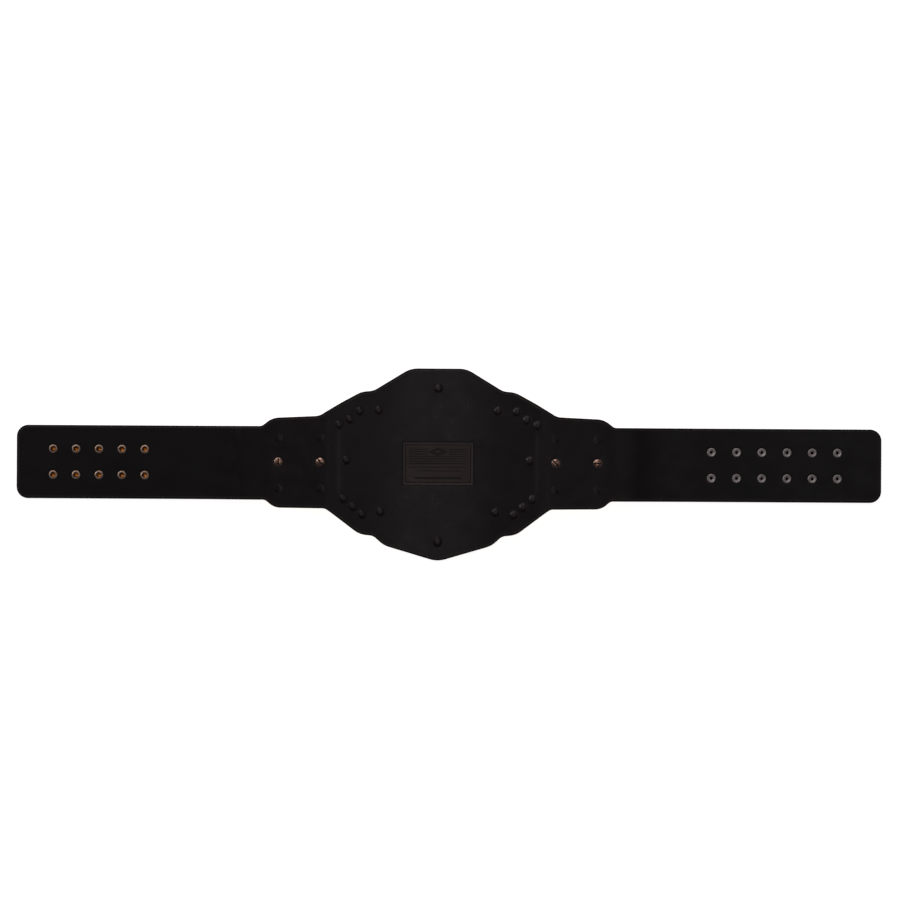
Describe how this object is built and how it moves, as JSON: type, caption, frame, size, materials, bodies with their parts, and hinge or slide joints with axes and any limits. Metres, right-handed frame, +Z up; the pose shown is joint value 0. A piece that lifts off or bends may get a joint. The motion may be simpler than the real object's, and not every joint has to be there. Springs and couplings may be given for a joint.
{
  "type": "championship title belt",
  "caption": "Wide leather belt with a large crowned centre panel, curved metal plates on its front and rows of press snaps at its ends, lying face down.",
  "frame": {"origin": "on the surface that the belt lies on, under the middle of its box", "axes": "+X along the strap towards the stud end, +Y across the belt towards its crown, +Z up, out of the lining that faces the wearer"},
  "size_m": [1.2804, 0.2842, 0.0305],
  "materials": {
    "strap_leather": "dyed black, burnished edge",
    "lining_leather": "smooth black lining leather with a fine grain",
    "plate_metal": "gold-plated cast plate, polished relief on a satin field",
    "screw_brass": "rose brass, turned and polished",
    "socket_brass": "antique brass, stamped",
    "stud_steel": "dark nickel-plated, stamped"
  },
  "bodies": {
    "root": {"strap": "strap_leather", "lining": "lining_leather", "main_plate": "plate_metal", "side_plate_left": "plate_metal", "side_plate_right": "plate_metal", "screw_left_outer": "screw_brass", "screw_left_inner": "screw_brass", "screw_right_inner": "screw_brass", "screw_right_outer": "screw_brass", "socket_01": "socket_brass", "socket_02": "socket_brass", "socket_03": "socket_brass", "socket_04": "socket_brass", "socket_05": "socket_brass", "socket_06": "socket_brass", "socket_07": "socket_brass", "socket_08": "socket_brass", "socket_09": "socket_brass", "socket_10": "socket_brass", "socket_cap_01": "socket_brass", "socket_cap_02": "socket_brass", "socket_cap_03": "socket_brass", "socket_cap_04": "socket_brass", "socket_cap_05": "socket_brass", "socket_cap_06": "socket_brass", "socket_cap_07": "socket_brass", "socket_cap_08": "socket_brass", "socket_cap_09": "socket_brass", "socket_cap_10": "socket_brass", "eyelet_01": "stud_steel", "eyelet_02": "stud_steel", "eyelet_03": "stud_steel", "eyelet_04": "stud_steel", "eyelet_05": "stud_steel", "eyelet_06": "stud_steel", "eyelet_07": "stud_steel", "eyelet_08": "stud_steel", "eyelet_09": "stud_steel", "eyelet_10": "stud_steel", "eyelet_11": "stud_steel", "eyelet_12": "stud_steel", "stud_01": "stud_steel", "stud_02": "stud_steel", "stud_03": "stud_steel", "stud_04": "stud_steel", "stud_05": "stud_steel", "stud_06": "stud_steel", "stud_07": "stud_steel", "stud_08": "stud_steel", "stud_09": "stud_steel", "stud_10": "stud_steel", "stud_11": "stud_steel", "stud_12": "stud_steel"}
  },
  "joints": []
}
